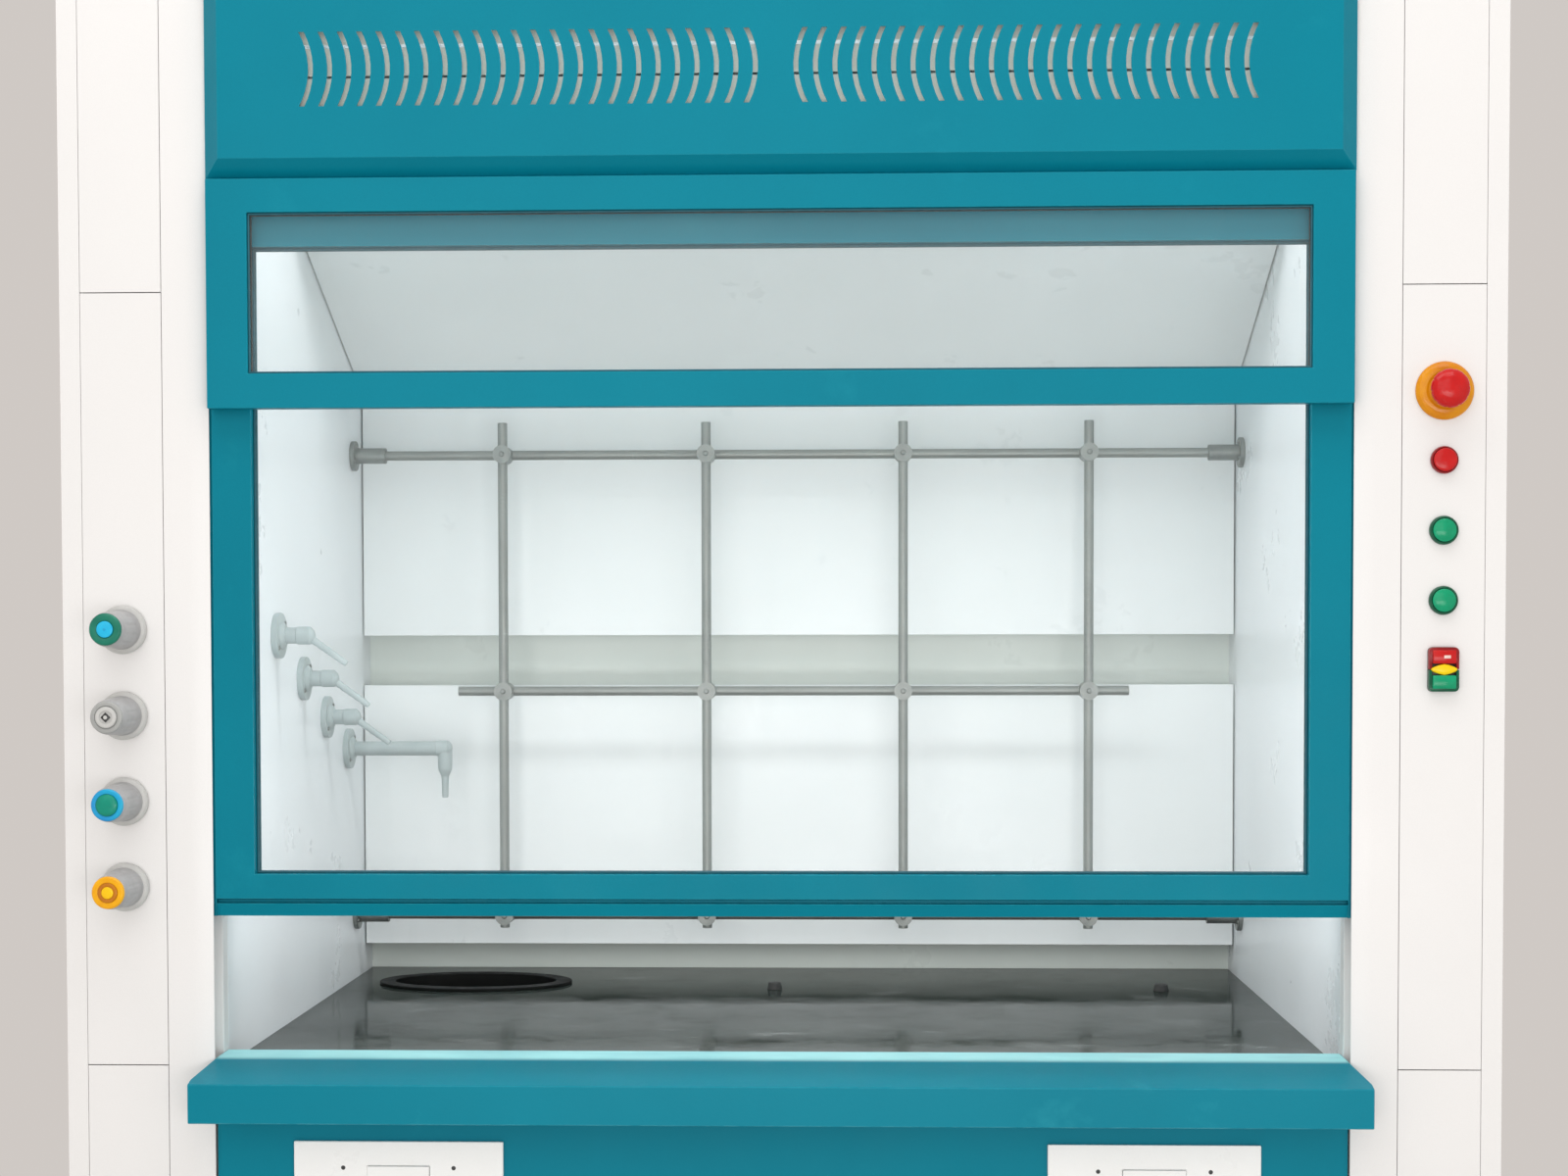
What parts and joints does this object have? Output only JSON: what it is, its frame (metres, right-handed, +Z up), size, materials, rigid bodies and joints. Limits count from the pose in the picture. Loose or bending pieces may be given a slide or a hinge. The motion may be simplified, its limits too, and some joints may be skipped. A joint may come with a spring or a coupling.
{
  "type": "fume hood",
  "caption": "Walk-up bench fume hood with a counterweighted vertical sash, baffled chamber, rod lattice, worktop with cup sink, service valves, switches and cupboard doors.",
  "frame": {"origin": "centre of the bounding box's bottom, on the floor", "axes": "+Z up, +X to the user's right, +Y from the front towards the back"},
  "size_m": [1.5, 0.914, 2.42],
  "materials": {
    "white_steel": "white powder coat, satin",
    "teal_steel": "teal powder coat, satin",
    "teal_aluminium": "teal powder-coated aluminium",
    "liner": "white chemical-resistant laminate",
    "backing": "cream laminate",
    "epoxy": "black-grey epoxy, glossy",
    "pp_black": "black polypropylene",
    "pp_grey": "blue-grey moulded plastic",
    "glass": "clear toughened glass",
    "steel": "brushed stainless steel",
    "galvanised": "galvanised steel",
    "weight_steel": "primed steel plate",
    "brass": "machined brass",
    "knob_grey": "grey moulded plastic",
    "switch_plastic": "moulded switch bodies",
    "red": "red moulded plastic",
    "green": "green moulded plastic",
    "socket_white": "white moulded plastic",
    "pvc_pipe": "grey waste pipe",
    "rubber": "black rubber",
    "lamp_white": "frosted tube"
  },
  "bodies": {
    "hood": {"right_post": "white_steel", "left_post": "white_steel", "service_strips": "white_steel", "side_panels": "white_steel", "back_panel": "white_steel", "roof_panel": "white_steel", "exhaust_collar": "galvanised", "header_panel": "teal_steel", "header_backing": "backing", "window_frame": "teal_steel", "window_glass": "glass", "pulley_brackets": "galvanised", "sash_cables": "steel", "side_liners": "liner", "back_liner": "liner", "ceiling_liner": "liner", "upper_baffle": "liner", "middle_baffle": "liner", "lower_baffle": "liner", "lamp_housing": "white_steel", "lamp_tube": "lamp_white", "lamp_window": "glass", "worktop": "epoxy", "cup_sink": "pp_black", "sink_trap": "pvc_pipe", "worktop_plugs": "rubber", "airfoil_sill": "teal_steel", "front_fascia": "teal_steel", "socket_plates": "socket_white", "socket_inserts": "socket_white", "base_cabinet": "white_steel", "levelling_feet": "rubber", "outlet_flanges": "pp_grey", "gas_nozzles": "pp_grey", "water_spout": "pp_grey", "valve_bodies": "brass", "supply_pipes": "brass", "switch_bodies": "switch_plastic", "lattice_rods": "steel", "lattice_clamps": "steel", "lattice_flanges": "steel"},
    "sash": {"sash_frame": "teal_aluminium", "sash_glass": "glass"},
    "weight": {"counterweight": "weight_steel"},
    "front_wheels": {"front_pulleys": "steel"},
    "rear_wheels": {"rear_pulleys": "steel"},
    "damper": {"damper_blade": "galvanised"},
    "left_cupboard_door": {"left_door": "teal_steel"},
    "right_cupboard_door": {"right_door": "teal_steel"},
    "knob_1": {"valve_knob_1": "knob_grey"},
    "knob_2": {"valve_knob_2": "knob_grey"},
    "knob_3": {"valve_knob_3": "knob_grey"},
    "knob_4": {"valve_knob_4": "knob_grey"},
    "estop_stem": {"estop_plunger": "switch_plastic"},
    "estop_cap": {"estop_head": "red"},
    "stop_push": {"stop_button": "red"},
    "start_push_upper": {"upper_start_button": "green"},
    "start_push_lower": {"lower_start_button": "green"},
    "twin_push_red": {"twin_red_button": "red"},
    "twin_push_green": {"twin_green_button": "green"}
  },
  "joints": [
    {"name": "sash_slide", "type": "slide", "parent": "hood", "child": "sash", "axis": [0, 0, 1], "range_m": [-0.145, 0.52], "deforming": ["sash_cables"]},
    {"name": "counterweight_slide", "type": "slide", "parent": "hood", "child": "weight", "axis": [0, 0, 1], "range_m": [-0.521, 0.146]},
    {"name": "front_pulley_spin", "type": "hinge", "parent": "hood", "child": "front_wheels", "pos_m": [0, -0.346, 2.315], "axis": [-1, 0, 0], "range_deg": [-347, 1243]},
    {"name": "rear_pulley_spin", "type": "hinge", "parent": "hood", "child": "rear_wheels", "pos_m": [0, 0.411, 2.315], "axis": [-1, 0, 0], "range_deg": [-347, 1243]},
    {"name": "damper_turn", "type": "hinge", "parent": "hood", "child": "damper", "pos_m": [0, 0.107, 2.29], "axis": [1, 0, 0], "range_deg": [0, 85]},
    {"name": "left_door_hinge", "type": "hinge", "parent": "hood", "child": "left_cupboard_door", "pos_m": [-0.592, -0.383, 0.37], "axis": [0, 0, 1], "range_deg": [-105, 0]},
    {"name": "right_door_hinge", "type": "hinge", "parent": "hood", "child": "right_cupboard_door", "pos_m": [0.592, -0.383, 0.37], "axis": [0, 0, 1], "range_deg": [0, 105]},
    {"name": "knob_1_turn", "type": "hinge", "parent": "hood", "child": "knob_1", "pos_m": [-0.6855, -0.393, 1.3175], "axis": [0, -1, 0], "range_deg": [0, 270]},
    {"name": "knob_2_turn", "type": "hinge", "parent": "hood", "child": "knob_2", "pos_m": [-0.6855, -0.393, 1.2275], "axis": [0, -1, 0], "range_deg": [0, 270]},
    {"name": "knob_3_turn", "type": "hinge", "parent": "hood", "child": "knob_3", "pos_m": [-0.6855, -0.393, 1.1375], "axis": [0, -1, 0], "range_deg": [0, 270]},
    {"name": "knob_4_turn", "type": "hinge", "parent": "hood", "child": "knob_4", "pos_m": [-0.6855, -0.393, 1.0475], "axis": [0, -1, 0], "range_deg": [0, 270]},
    {"name": "estop_press", "type": "slide", "parent": "hood", "child": "estop_stem", "axis": [0, 1, 0], "range_m": [0, 0.005], "stiffness_N_per_m": 2500},
    {"name": "estop_twist", "type": "hinge", "parent": "estop_stem", "child": "estop_cap", "pos_m": [0.6855, -0.393, 1.56], "axis": [0, 1, 0], "range_deg": [0, 45], "stiffness_Nm_per_rad": 0.05},
    {"name": "stop_press", "type": "slide", "parent": "hood", "child": "stop_push", "axis": [0, 1, 0], "range_m": [0, 0.0035], "stiffness_N_per_m": 1200},
    {"name": "start_press_upper", "type": "slide", "parent": "hood", "child": "start_push_upper", "axis": [0, 1, 0], "range_m": [0, 0.0035], "stiffness_N_per_m": 1200},
    {"name": "start_press_lower", "type": "slide", "parent": "hood", "child": "start_push_lower", "axis": [0, 1, 0], "range_m": [0, 0.0035], "stiffness_N_per_m": 1200},
    {"name": "twin_press_red", "type": "slide", "parent": "hood", "child": "twin_push_red", "axis": [0, 1, 0], "range_m": [0, 0.0035], "stiffness_N_per_m": 1200},
    {"name": "twin_press_green", "type": "slide", "parent": "hood", "child": "twin_push_green", "axis": [0, 1, 0], "range_m": [0, 0.0035], "stiffness_N_per_m": 1200}
  ],
  "couplings": [
    {"joint": "counterweight_slide", "follows": "sash_slide", "ratio": -1},
    {"joint": "front_pulley_spin", "follows": "sash_slide", "rad_per_m": 41.667},
    {"joint": "rear_pulley_spin", "follows": "sash_slide", "rad_per_m": 41.667}
  ]
}
